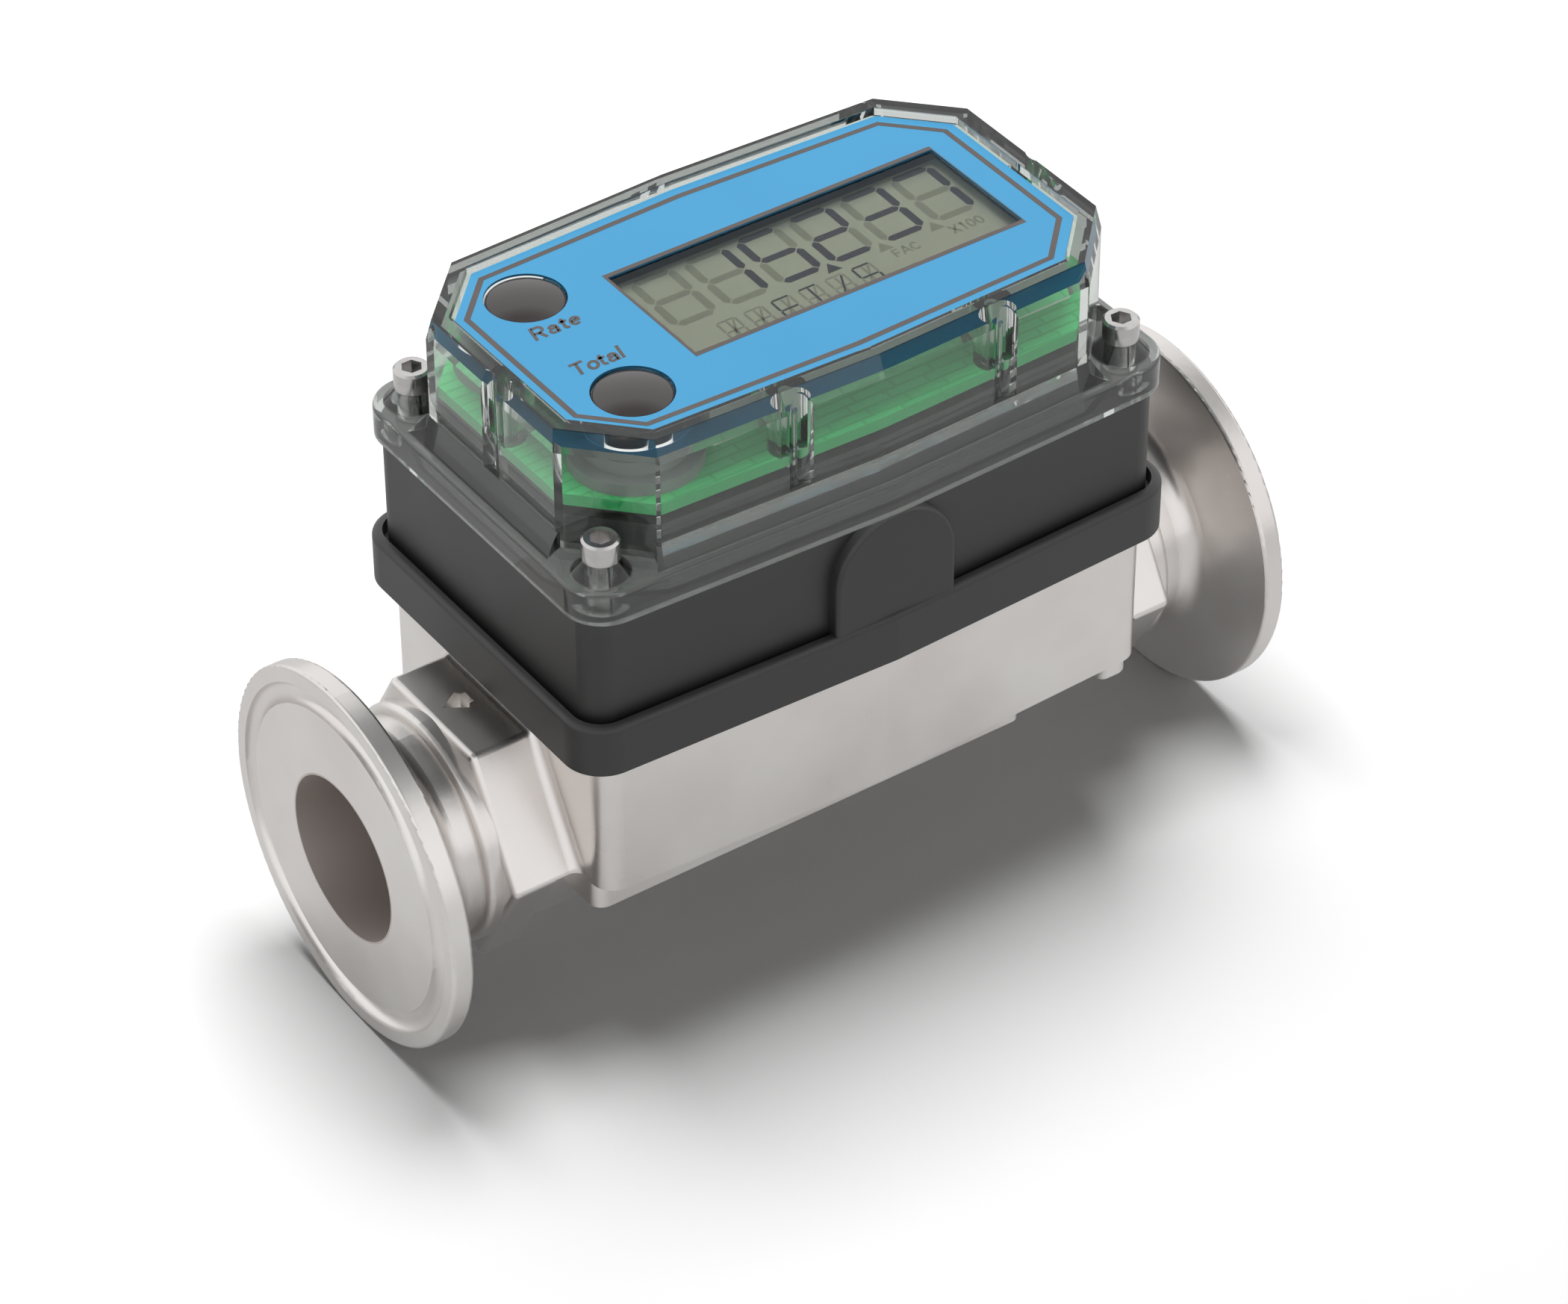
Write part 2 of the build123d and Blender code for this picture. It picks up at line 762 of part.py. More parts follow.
def board_screws():
    screws = []
    for (x, y), _ in board_screw_places():
        head_z = board_under_z - board_screw_head_h
        screw = post(board_screw_d / 2, board_under_z, board_z + board_screw_reach, x, y)
        screw = fillet(screw.edges().filter_by(GeomType.CIRCLE).sort_by(Axis.Z)[-1], board_screw_tip_r)
        head = post(board_screw_head_d / 2, head_z, board_under_z, x, y)
        head = fillet(head.edges().filter_by(GeomType.CIRCLE).sort_by(Axis.Z)[0], board_screw_head_edge)
        screws.append(screw + head)
    return screws


def lcd_box(margin, z_low, z_high):
    """A box as large as the display glass and a margin around it."""
    half_len = lcd_len / 2 + margin
    half_w = lcd_w / 2 + margin
    return block(lcd_x - half_len, lcd_x + half_len, -half_w, half_w, z_low, z_high)


def lcd_glass():
    return lcd_box(0, lcd_under_z, lcd_z)


def lcd_frame():
    frame = lcd_box(lcd_clear + lcd_frame_wall, board_z, lcd_z)
    frame -= lcd_box(lcd_clear, lcd_under_z, lcd_z)
    return frame - lcd_box(-lcd_ledge, board_z, lcd_under_z)


def zebra_strips():
    strips = []
    half = zebra_len / 2
    outer = lcd_w / 2 - lcd_ledge - lcd_clear
    for low, high in ((outer - zebra_w, outer), (-outer, zebra_w - outer)):
        strips.append(block(lcd_x - half, lcd_x + half, low, high, board_z, lcd_under_z))
    return strips


def controller_chip():
    half = chip_side / 2
    top = board_under_z
    return block(chip_x - half, chip_x + half, -half, half, top - chip_t, top)


# Batteries

def cell_frame_half_len():
    """Half the room between the end contacts."""
    return (cell_body_len + cell_nub_len) / 2 + cell_clear + contact_bump_h


def battery_cell(y, s):
    """A cell with its nub towards s times +X."""
    room = (cell_body_len + cell_nub_len) / 2
    body_ends = sorted((-s * room, s * (room - cell_nub_len)))
    nub_ends = sorted((s * (room - cell_nub_len), s * room))
    cell = rod(cell_d / 2, *body_ends)
    edges = cell.edges().filter_by(GeomType.CIRCLE)
    cell = fillet(edges, cell_d / 20)
    cell += rod(cell_nub_d / 2, *nub_ends)
    return Pos(0, y, cell_z - axis_z) * cell


def battery_holder():
    half_len = cell_frame_half_len() + contact_t + holder_wall
    half_w = cell_pitch / 2 + cell_d / 2 + cell_clear + holder_wall
    top = floor_z + holder_h
    tray = block(-half_len, half_len, -half_w, half_w, floor_z, top)
    tray -= block(holder_wall - half_len, half_len - holder_wall, holder_wall - half_w, half_w - holder_wall, holder_z, top)
    rib = (cell_pitch - cell_d) / 2 - cell_clear
    return tray + block(holder_wall - half_len, half_len - holder_wall, -rib, rib, floor_z, top - holder_wall)


def battery_contacts():
    contacts = []
    inner_x = cell_frame_half_len()
    for s in (-1, 1):
        for y in (-cell_pitch / 2, cell_pitch / 2):
            plate_ends = sorted((s * inner_x, s * (inner_x + contact_t)))
            half = contact_w / 2
            plate = block(*plate_ends, y - half, y + half, holder_z, holder_z + contact_h)
            bump_ends = sorted((s * inner_x, s * (inner_x - contact_bump_h)))
            bump = Pos(0, y, cell_z - axis_z) * rod(contact_bump_d / 2, *bump_ends)
            contacts.append(plate + bump)
    return contacts


# Every sub-part under its name

def all_parts():
    half_pitch = cell_pitch / 2
    inlet_side, outlet_side = -1, 1
    supports = dict(zip((outlet_side, inlet_side), both_ends(vaned_support())))
    bearings = dict(zip((outlet_side, inlet_side), both_ends(shaft_bearing())))
    rings = dict(zip((outlet_side, inlet_side), both_ends(retaining_ring())))
    parts = {
        "meter_body": meter_body(),
        "inlet_support": supports[inlet_side],
        "outlet_support": supports[outlet_side],
        "inlet_bearing": bearings[inlet_side],
        "outlet_bearing": bearings[outlet_side],
        "inlet_retaining_ring": rings[inlet_side],
        "outlet_retaining_ring": rings[outlet_side],
        "rotor": rotor(),
        "rotor_slugs": rotor_slugs(),
        "rotor_shaft": rotor_shaft(),
        "coil_bobbin": coil_bobbin(),
        "coil_winding": coil_winding(),
        "coil_core": coil_core(),
        "body_gasket": gasket_ring(),
        "cover_gasket": cover_gasket(),
        "housing": housing(),
        "housing_screws": housing_screws(),
        "threaded_inserts": threaded_inserts(),
        "battery_holder": battery_holder(),
        "battery_contacts": battery_contacts(),
        "battery_cell_a": battery_cell(half_pitch, 1),
        "battery_cell_b": battery_cell(-half_pitch, -1),
        "circuit_board": circuit_board(),
        "board_screws": board_screws(),
        "controller_chip": controller_chip(),
        "zebra_strips": zebra_strips(),
        "lcd_frame": lcd_frame(),
        "lcd_glass": lcd_glass(),
        "cover": cover(),
        "cover_screws": cover_screws(),
        "label": label(),
    }
    for name, y in button_places().items():
        parts[name + "_button"] = push_button(y)
        parts[name + "_boot"] = boot(y)
        parts[name + "_switch"] = switch(y)
    return parts


def write_parts():
    """One STEP file for each sub-part, a group of separate solids where it repeats."""
    os.makedirs("parts", exist_ok=True)
    for name, shape in all_parts().items():
        solids = shape if isinstance(shape, list) else shape.solids()
        whole = solids[0] if len(solids) == 1 else Compound(children=list(solids))
        export_step(whole, "parts/" + name + ".step")


write_parts()
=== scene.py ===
import bmesh
import bpy
import math
from mathutils import Matrix, Vector


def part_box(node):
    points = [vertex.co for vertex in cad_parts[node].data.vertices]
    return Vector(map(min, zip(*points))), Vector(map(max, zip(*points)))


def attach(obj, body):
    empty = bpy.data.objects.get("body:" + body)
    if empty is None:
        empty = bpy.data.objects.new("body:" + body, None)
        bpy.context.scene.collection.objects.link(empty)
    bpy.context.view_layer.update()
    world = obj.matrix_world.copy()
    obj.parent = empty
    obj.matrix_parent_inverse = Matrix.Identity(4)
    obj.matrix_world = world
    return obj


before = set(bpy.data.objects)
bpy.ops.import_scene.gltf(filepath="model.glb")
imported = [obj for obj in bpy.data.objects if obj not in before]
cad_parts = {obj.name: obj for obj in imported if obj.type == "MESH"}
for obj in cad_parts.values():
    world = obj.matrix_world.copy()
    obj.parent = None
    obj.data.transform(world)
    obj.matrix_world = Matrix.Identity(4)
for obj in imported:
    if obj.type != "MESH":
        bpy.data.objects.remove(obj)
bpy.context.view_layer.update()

# Cast body: one investment casting in stainless steel, blasted all over, with a bored pipe run.
# The blasting leaves a fine grain, and the skin of the mould a slow waviness that bends the reflections on
# the necks and cones. The bore is left rougher by its tool, and looks duller; its colour there is a darker,
# warmer grey, a painted shade for the dim light inside the bore.

mm = 0.001
axis_z, bore_reach = 25.25, 11.3


def colour(hex_code):
    """An sRGB hex value as the linear colour that a socket takes."""
    channels = [int(hex_code[i:i + 2], 16) / 255 for i in (1, 3, 5)]
    linear = [c / 12.92 if c <= 0.04045 else ((c + 0.055) / 1.055) ** 2.4 for c in channels]
    return (*linear, 1.0)


def add(tree, kind, sockets=None, **settings):
    """Adds a node with its settings, and gives each socket its value or its link."""
    made = tree.nodes.new(kind)
    for name, value in settings.items():
        setattr(made, name, value)
    for name, value in (sockets or {}).items():
        if isinstance(value, bpy.types.NodeSocket):
            tree.links.new(value, made.inputs[name])
        else:
            made.inputs[name].default_value = value
    return made


def new_finish(name, **sockets):
    """A material with one shader, and the place on the piece in millimetres."""
    finish = bpy.data.materials.new(name)
    finish.use_nodes = True
    tree = finish.node_tree
    tree.nodes.clear()
    shader = add(tree, "ShaderNodeBsdfPrincipled", {k.replace("_", " "): v for k, v in sockets.items()})
    add(tree, "ShaderNodeOutputMaterial", {"Surface": shader.outputs[0]})
    place = add(tree, "ShaderNodeTexCoord").outputs["Object"]
    in_mm = add(tree, "ShaderNodeVectorMath", {0: place, "Scale": 1 / mm}, operation="SCALE")
    return finish, tree, shader, in_mm.outputs[0]


def grain(tree, place, size_mm, detail=2.0):
    """Noise whose lumps are about as wide as the size."""
    made = add(tree, "ShaderNodeTexNoise", {"Vector": place, "Scale": 0.5 / size_mm, "Detail": detail})
    return made.outputs[0]


def spread(tree, value, low, high):
    """The noise spread between two numbers."""
    return add(tree, "ShaderNodeMapRange", {0: value, 1: 0.3, 2: 0.7, 3: low, 4: high}).outputs[0]


def between(tree, value, dark, light):
    """A colour between two, chosen by the noise."""
    made = add(tree, "ShaderNodeMix", {0: spread(tree, value, 0, 1), 6: dark, 7: light}, data_type="RGBA")
    return made.outputs[2]


def relief(tree, value, depth_mm, under=None):
    """A bump of that depth, on another one where there is one."""
    sockets = {"Height": value, "Distance": depth_mm * mm, "Strength": 1.0}
    if under is not None:
        sockets["Normal"] = under
    return add(tree, "ShaderNodeBump", sockets).outputs[0]


def textured(name, dark, light, grain_mm, roughness, relief_mm, **sockets):
    """A finish whose colour, gloss and surface vary with one grain."""
    finish, tree, shader, place = new_finish(name, **sockets)
    lumps = grain(tree, place, grain_mm)
    links = tree.links
    links.new(between(tree, lumps, colour(dark), colour(light)), shader.inputs["Base Color"])
    links.new(spread(tree, lumps, *roughness), shader.inputs["Roughness"])
    links.new(relief(tree, lumps, relief_mm), shader.inputs["Normal"])
    return finish


def dress(finish, *names):
    """Gives CAD nodes their material."""
    for name in names:
        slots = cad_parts[name].data.materials
        slots.clear()
        slots.append(finish)


def cast_steel():
    """Blasted cast stainless steel: bright, satin, with a slightly warm grey."""
    finish, tree, shader, place = new_finish("blasted_cast_stainless_steel", Metallic=1.0)
    skin = grain(tree, place, 7.0)
    grit = grain(tree, place, 0.45, 4.0)
    links = tree.links
    lowered = add(tree, "ShaderNodeVectorMath", {0: place, 1: (0, 0, -axis_z)}, operation="ADD")
    across_axis = add(tree, "ShaderNodeVectorMath", {
        0: lowered.outputs[0], 1: (0, 1, 1)}, operation="MULTIPLY").outputs[0]
    radius = add(tree, "ShaderNodeVectorMath", {0: across_axis}, operation="LENGTH").outputs["Value"]
    in_bore = add(tree, "ShaderNodeMath", {0: radius, 1: bore_reach}, operation="LESS_THAN").outputs[0]
    outside = between(tree, skin, colour("#DDD8D5"), colour("#E8E5E2"))
    # Inside the bore the colour is a darker, warmer grey: painted shade for the dim light in the bore.
    turned_with_bore_shade = add(tree, "ShaderNodeMix", {0: in_bore, 6: outside, 7: colour("#CFC7C2")}, data_type="RGBA")
    links.new(turned_with_bore_shade.outputs[2], shader.inputs["Base Color"])
    satin = spread(tree, skin, 0.27, 0.36)
    rough = add(tree, "ShaderNodeMix", {0: in_bore, 2: satin, 3: 0.62})
    links.new(rough.outputs[0], shader.inputs["Roughness"])
    waves = relief(tree, skin, 0.06)
    links.new(relief(tree, grit, 0.012, waves), shader.inputs["Normal"])
    return finish


dress(cast_steel(), "meter_body")

# Flow internals: turned and moulded parts that sit in the bore, out of the photograph's sight.
# The supports and rotor are injection moulded, the bearings are ground ceramic, and the shaft is
# ground carbide held in two open rings of spring steel.

support_finish = textured("moulded_pvdf", "#D2D0C6", "#DEDCD3", 2.0, (0.38, 0.48), 0.01)
rotor_finish = textured("moulded_black_nylon", "#222225", "#2C2C30", 1.2, (0.40, 0.52), 0.01)
ceramic_finish = textured("ground_ceramic", "#D9D4C9", "#E4E0D6", 0.8, (0.12, 0.20), 0.002)
spring_finish = textured(
    "drawn_spring_steel", "#A5A5A8", "#BDBDC0", 0.6, (0.25, 0.35), 0.004, Metallic=1.0)
carbide_finish = textured(
    "ground_carbide", "#8B8B90", "#9C9CA1", 0.5, (0.10, 0.18), 0.002, Metallic=1.0)
soft_iron_finish = textured(
    "machined_soft_iron", "#78787C", "#8A8A8E", 0.5, (0.30, 0.42), 0.004, Metallic=1.0)
dress(support_finish, "inlet_support", "outlet_support")
dress(rotor_finish, "rotor")
dress(ceramic_finish, "inlet_bearing", "outlet_bearing")
dress(spring_finish, "inlet_retaining_ring", "outlet_retaining_ring")
dress(carbide_finish, "rotor_shaft")
dress(soft_iron_finish, "rotor_slugs", "coil_core")

# Pickup coil and seals: enamelled copper wire wound on a moulded bobbin above the rotor, and
# two black rubber cords that keep water out of the housing.

wire_pitch = 0.4


def copper_winding():
    """Enamelled copper wire, its turns drawn coarse enough to show."""
    finish, tree, shader, place = new_finish("enamelled_copper_wire", Metallic=1.0, Roughness=0.3)
    height = add(tree, "ShaderNodeSeparateXYZ", {0: place}).outputs["Z"]
    turn = add(tree, "ShaderNodeMath", {0: height, 1: 2 * math.pi / wire_pitch}, operation="MULTIPLY")
    round_wire = add(tree, "ShaderNodeMath", {0: turn.outputs[0]}, operation="SINE").outputs[0]
    shader.inputs["Base Color"].default_value = colour("#C46A33")
    tree.links.new(relief(tree, round_wire, 0.1), shader.inputs["Normal"])
    return finish


seal_finish = textured("black_seal_rubber", "#141414", "#1C1C1C", 0.6, (0.55, 0.70), 0.01)
dress(copper_winding(), "coil_winding")
dress(rotor_finish, "coil_bobbin")
dress(seal_finish, "body_gasket", "cover_gasket")

# Housing: a black box moulded in glass-filled nylon, screwed to the casting's deck. The mould
# was spark eroded, so its walls have a fine matt grain that softens the light.


def black_housing():
    """Moulded black nylon: dark neutral grey in the light, satin, with a fine even grain."""
    finish, tree, shader, place = new_finish("moulded_glass_filled_nylon", IOR=1.53)
    patch = grain(tree, place, 9.0)
    pits = grain(tree, place, 0.25, 3.0)
    links = tree.links
    links.new(between(tree, patch, colour("#494949"), colour("#4E4E4E")), shader.inputs["Base Color"])
    links.new(spread(tree, patch, 0.42, 0.50), shader.inputs["Roughness"])
    links.new(relief(tree, pits, 0.003), shader.inputs["Normal"])
    return finish


dress(black_housing(), "housing")

# Screws and inserts: cap screws and pan heads in plain stainless steel, cold headed and rolled,
# and knurled brass inserts pressed into the housing's columns.

screw_finish = textured(
    "headed_stainless_steel", "#BFBDBC", "#CDCBCA", 0.9, (0.14, 0.22), 0.003, Metallic=1.0)
brass_finish = textured("knurled_brass", "#B9924A", "#CFA85C", 0.5, (0.22, 0.32), 0.02, Metallic=1.0)
dress(screw_finish, "cover_screws", "board_screws", "housing_screws")
dress(brass_finish, "threaded_inserts")

# Batteries: two small cells with plain printed sleeves lie in a moulded tray between nickel
# plated springs. They are installed in the housing, so they don't show from outside.

sleeve_band = 8.0
cell_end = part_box("battery_cell_a")[1].x / mm


def cell_sleeve(name, towards):
    """A silver printed sleeve with a black band at the cell's positive end."""
    finish, tree, shader, place = new_finish(name, Metallic=0.6, Roughness=0.32)
    along = add(tree, "ShaderNodeSeparateXYZ", {0: place}).outputs["X"]
    out = add(tree, "ShaderNodeMath", {0: along, 1: towards}, operation="MULTIPLY").outputs[0]
    band_start = cell_end - sleeve_band
    band = add(tree, "ShaderNodeMath", {0: out, 1: band_start}, operation="GREATER_THAN").outputs[0]
    ink = add(tree, "ShaderNodeMix", {
        0: band, 6: colour("#A9AEB2"), 7: colour("#1A1A1B")}, data_type="RGBA")
    tree.links.new(ink.outputs[2], shader.inputs["Base Color"])
    tree.links.new(relief(tree, grain(tree, place, 1.5), 0.004), shader.inputs["Normal"])
    return finish


holder_finish = textured("moulded_black_polypropylene", "#1B1B1C", "#242425", 1.0, (0.45, 0.58), 0.01)
nickel_finish = textured(
    "nickel_plated_spring_steel", "#BDB9AE", "#CFCBC0", 0.6, (0.18, 0.28), 0.004, Metallic=1.0)
dress(holder_finish, "battery_holder", "rate_switch", "total_switch", "controller_chip")
dress(nickel_finish, "battery_contacts")
dress(cell_sleeve("printed_cell_sleeve_a", 1), "battery_cell_a")
dress(cell_sleeve("printed_cell_sleeve_b", -1), "battery_cell_b")

# Circuit board: glass fibre laminate under green solder mask. The copper tracks beneath the mask
# show as slightly lighter lines, and the cut edge is paler where the glass shows.

track_pitch = 1.6


def solder_mask():
    """Green solder mask, glossy, over faint copper tracks."""
    finish, tree, shader, place = new_finish("green_solder_mask", IOR=1.5, Roughness=0.28)
    tracks = add(tree, "ShaderNodeTexBrick", {
        "Vector": place,
        "Color1": colour("#45BC70"), "Color2": colour("#4CC678"), "Mortar": colour("#3FB067"),
        "Scale": 1 / track_pitch, "Mortar Size": 0.12, "Brick Width": 3.5, "Row Height": 1.0}, offset=0.3)
    normal = add(tree, "ShaderNodeNewGeometry").outputs["Normal"]
    faces_up = add(tree, "ShaderNodeSeparateXYZ", {0: normal}).outputs["Z"]
    face = add(tree, "ShaderNodeMath", {0: faces_up}, operation="ABSOLUTE").outputs[0]
    mixed = add(tree, "ShaderNodeMix", {
        0: face, 6: colour("#43C074"), 7: tracks.outputs["Color"]}, data_type="RGBA")
    tree.links.new(mixed.outputs[2], shader.inputs["Base Color"])
    tree.links.new(relief(tree, tracks.outputs["Fac"], 0.03), shader.inputs["Normal"])
    return finish


dress(solder_mask(), "circuit_board")

# Display holder: a white moulded frame on the board with two grey elastomer strips in it, which
# join the board's pads to the glass.

white_finish = textured("moulded_white_acetal", "#E4E4E0", "#ECECE8", 1.5, (0.35, 0.45), 0.008)
strip_finish = textured("layered_zebra_elastomer", "#7B7B78", "#A2A29E", 0.3, (0.55, 0.65), 0.01)
dress(white_finish, "lcd_frame")
dress(strip_finish, "zebra_strips")

# Display: two plates of glass, dark round the edge, with a polarising film over the part that
# is read. Its segments are on or off: those that are on are near black, the others a faint grey.

film_left, film_right = -15.6, 32.3
film_front, film_back = -10.1, 10.1
film_t = 0.15
ink_t = 0.02
digit_width, digit_height = 6.5, 11.1
digit_pitch = 7.7
first_digit_x = -14.4
digit_foot_y = -1.5
digit_lean = 0.02
bar_t = 1.1
bar_gap = 0.12
point_half_w, point_foot, point_head = 1.05, 1.1, 0.75
readout = ["", "bc", "acdfg", "abdeg", "abcdg", "abc"]
point_after = 2
unit_width, unit_height = 2.9, 4.9
unit_pitch = 3.95
first_unit_x = -10.2
unit_foot_y = -8.2
unit_bar_t, unit_bar_gap = 0.32, 0.05
slash_side_in, slash_end_in = 0.5, 0.4
arc_steps = 12
letter_t = 0.45
ghost_words = {"FAC": (15.9, -4.6, 0.66), "X100": (24.6, -4.6, 0.7)}


def flat_piece(name, outlines, z_low, thickness, finish, body="meter"):
    """Thin flat shapes, each pulled up from its outline, in millimetres."""
    mesh = bmesh.new()
    for points in outlines:
        corners = [mesh.verts.new((x * mm, y * mm, z_low * mm)) for x, y in points]
        face = mesh.faces.new(corners)
        pulled = bmesh.ops.extrude_face_region(mesh, geom=[face])["geom"]
        top = [g for g in pulled if isinstance(g, bmesh.types.BMVert)]
        bmesh.ops.translate(mesh, vec=(0, 0, thickness * mm), verts=top)
    return finished(name, mesh, finish, body)


def finished(name, mesh, finish, body="meter"):
    """The mesh as a piece that rides on a body."""
    bmesh.ops.recalc_face_normals(mesh, faces=mesh.faces)
    data = bpy.data.meshes.new(name)
    mesh.to_mesh(data)
    mesh.free()
    data.materials.append(finish)
    piece = bpy.data.objects.new(name, data)
    bpy.context.scene.collection.objects.link(piece)
    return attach(piece, body)


def bar_across(x_low, x_high, y, t):
    """A lying segment with pointed ends."""
    half = t / 2
    upper = [(x_high, y), (x_high - half, y + half), (x_low + half, y + half)]
    return upper + [(x_low, y), (x_low + half, y - half), (x_high - half, y - half)]


def bar_up(x, y_low, y_high, t):
    """A standing segment with pointed ends."""
    return [(x + across, along) for along, across in bar_across(y_low, y_high, 0, t)]


def digit_bars(width, height, t, gap):
    """The seven segments of a digit by their letters, from its lower left corner."""
    half = t / 2
    low, mid, high = half, height / 2, height - half
    left, right = half, width - half
    return {
        "a": bar_across(left + gap, right - gap, high, t), "g": bar_across(left + gap, right - gap, mid, t),
        "d": bar_across(left + gap, right - gap, low, t), "f": bar_up(left, mid + gap, high - gap, t),
        "b": bar_up(right, mid + gap, high - gap, t), "e": bar_up(left, low + gap, mid - gap, t),
        "c": bar_up(right, low + gap, mid - gap, t),
    }


def leaning(points, x, y):
    """The outline moved to its place and leaning a little to the right."""
    return [(x + px + py * digit_lean, y + py) for px, py in points]


def display_digits():
    """Outlines of the segments that are on and of those that are off."""
    on, off = [], []
    for i, lit in enumerate(readout):
        x = first_digit_x + i * digit_pitch
        for letter, points in digit_bars(digit_width, digit_height, bar_t, bar_gap).items():
            (on if letter in lit else off).append(leaning(points, x, digit_foot_y))
        point_x = x + digit_width + (digit_pitch - digit_width) / 2
        foot_y = digit_foot_y - point_foot
        triangle = [(point_x - point_half_w, foot_y), (point_x + point_half_w, foot_y)]
        triangle.append((point_x, digit_foot_y + point_head))
        if i >= point_after and i < len(readout) - 1:
            (on if i == point_after else off).append(triangle)
    return on, off


def unit_letters():
    """The small row under the digits: feet per second, and two places that are off."""
    bars = digit_bars(unit_width, unit_height, unit_bar_t, unit_bar_gap)
    mid_x = unit_width / 2
    bars["stem"] = bar_up(mid_x, unit_bar_t, unit_height - unit_bar_t, unit_bar_t)
    slope = unit_bar_t / 2
    foot, head = (slash_side_in, slash_end_in), (unit_width - slash_side_in, unit_height - slash_end_in)
    bars["stroke"] = [(foot[0] - slope, foot[1]), (foot[0] + slope, foot[1])]
    bars["stroke"] += [(head[0] + slope, head[1]), (head[0] - slope, head[1])]
    letters = [(), (), ("a", "f", "g", "e"), ("a", "stem"), ("stroke",), ("a", "f", "g", "c", "d")]
    on, off = [], []
    for i, lit in enumerate(letters):
        x = first_unit_x + i * unit_pitch
        for name, points in bars.items():
            (on if name in lit else off).append(leaning(points, x, unit_foot_y))
    return on, off


def arc(x, y, across, along, start, end):
    """Points along part of an ellipse, from one angle to another in degrees."""
    turns = [math.radians(start + (end - start) * i / arc_steps) for i in range(arc_steps + 1)]
    return [(x + across * math.cos(turn), y + along * math.sin(turn)) for turn in turns]


letter_strokes = {
    "R": [[(0.2, 0), (0.2, 2.5)], [(0.3, 2.3), *arc(1.05, 1.75, 0.55, 0.55, 90, -90), (0.3, 1.2)],
          [(0.95, 1.2), (1.65, 0)]],
    "T": [[(0, 2.3), (1.85, 2.3)], [(0.92, 0), (0.92, 2.2)]],
    "a": [[(1.25, 0), *arc(0.72, 1.02, 0.53, 0.53, 0, 165)],
          [(1.2, 0.98), *arc(0.62, 0.59, 0.42, 0.39, 90, 270), (0.8, 0.22), (1.2, 0.5)]],
    "e": [[(0.3, 0.86), *arc(0.8, 0.88, 0.6, 0.68, 0, 315)]],
    "l": [[(0.2, 0), (0.2, 2.6)]],
    "o": [arc(0.8, 0.88, 0.6, 0.68, 0, 180), arc(0.8, 0.88, 0.6, 0.68, 180, 360)],
    "t": [[(0.45, 2.15), *arc(0.8, 0.55, 0.35, 0.35, 180, 270), (1.0, 0.2)], [(0, 1.55), (1.0, 1.55)]],
    "F": [[(0.2, 0), (0.2, 2.5)], [(0.4, 2.3), (1.5, 2.3)], [(0.4, 1.2), (1.3, 1.2)]],
    "A": [[(0, 0), (0.95, 2.5)], [(0.95, 2.5), (1.9, 0)], [(0.5, 0.8), (1.4, 0.8)]],
    "C": [arc(1.0, 1.25, 0.8, 1.05, 40, 320)],
    "X": [[(0, 0), (1.6, 2.5)], [(0, 2.5), (1.6, 0)]],
    "1": [[(0.8, 0), (0.8, 2.5)], [(0.3, 1.9), (0.75, 2.35)]],
    "0": [arc(0.85, 1.25, 0.6, 1.05, 0, 180), arc(0.85, 1.25, 0.6, 1.05, 180, 360)],
}
letter_widths = {"R": 2.15, "T": 2.05, "a": 1.75, "e": 1.7, "l": 0.6, "o": 1.6, "t": 1.2,
                 "F": 1.8, "A": 2.1, "C": 2.1, "X": 1.9, "1": 1.5, "0": 1.75}


def ribbon(points, width):
    """The outline of a stroke of that width along the points."""
    sides = [[], []]
    for i, (x, y) in enumerate(points):
        ahead, behind = points[min(i + 1, len(points) - 1)], points[max(i - 1, 0)]
        run, rise = ahead[0] - behind[0], ahead[1] - behind[1]
        reach = width / 2 / math.hypot(run, rise)
        sides[0].append((x - rise * reach, y + run * reach))
        sides[1].append((x + rise * reach, y - run * reach))
    return sides[0] + sides[1][::-1]


def lettering(words, x, y, size, lean):
    """Outlines of the strokes of plain letters, 2.5 mm high at size 1, from their left foot."""
    outlines = []
    for letter in words:
        for points in letter_strokes[letter]:
            stroke = ribbon(points, letter_t)
            outlines.append([(x + (px + py * lean) * size, y + py * size) for px, py in stroke])
        x += letter_widths[letter] * size
    return outlines


def display_finish(name, hex_code):
    """Glossy polarising film, whose high index gives the pale glare of the display."""
    finish, tree, shader, place = new_finish(name, IOR=1.7)
    shader.inputs["Base Color"].default_value = colour(hex_code)
    tree.links.new(spread(tree, grain(tree, place, 12.0), 0.02, 0.03), shader.inputs["Roughness"])
    return finish


glass_finish = textured("dark_display_glass", "#0E1620", "#131D2A", 4.0, (0.02, 0.04), 0.001, IOR=1.52)
dress(glass_finish, "lcd_glass")
glass_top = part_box("lcd_glass")[1].z / mm
film_corners = [
    (film_left, film_front), (film_right, film_front), (film_right, film_back), (film_left, film_back)]
flat_piece("display_film", [film_corners], glass_top, film_t, display_finish("polarising_film", "#6A6C5F"))
digits_on, digits_off = display_digits()
letters_on, letters_off = unit_letters()
for words, (x, y, size) in ghost_words.items():
    letters_off += lettering(words, x, y, size, 0.0)
ink_z = glass_top + film_t
lit_finish, unlit_finish = display_finish("segment_on", "#191C26"), display_finish("segment_off", "#525448")
flat_piece("display_segments_on", digits_on + letters_on, ink_z, ink_t, lit_finish)
flat_piece("display_segments_off", digits_off + letters_off, ink_z, ink_t / 2, unlit_finish)

# Clear cover: moulded in clear polycarbonate with a faint grey green tint, polished where it is looked
# through. The rim's flat top is tinted a darker grey, a painted shade, and the thick flange is made a
# little milky with a pale colour, a painted sheen for the reflections in it. It casts no shadow of its own,
# as the real one lets the light through.

coat_x, coat_half_len, coat_half_w = 7.1, 24.6, 9.8
coat_z = 84.5
shaded_rim_z, sheen_flange_z = 88.1, 71.7
flange_clear = 0.8


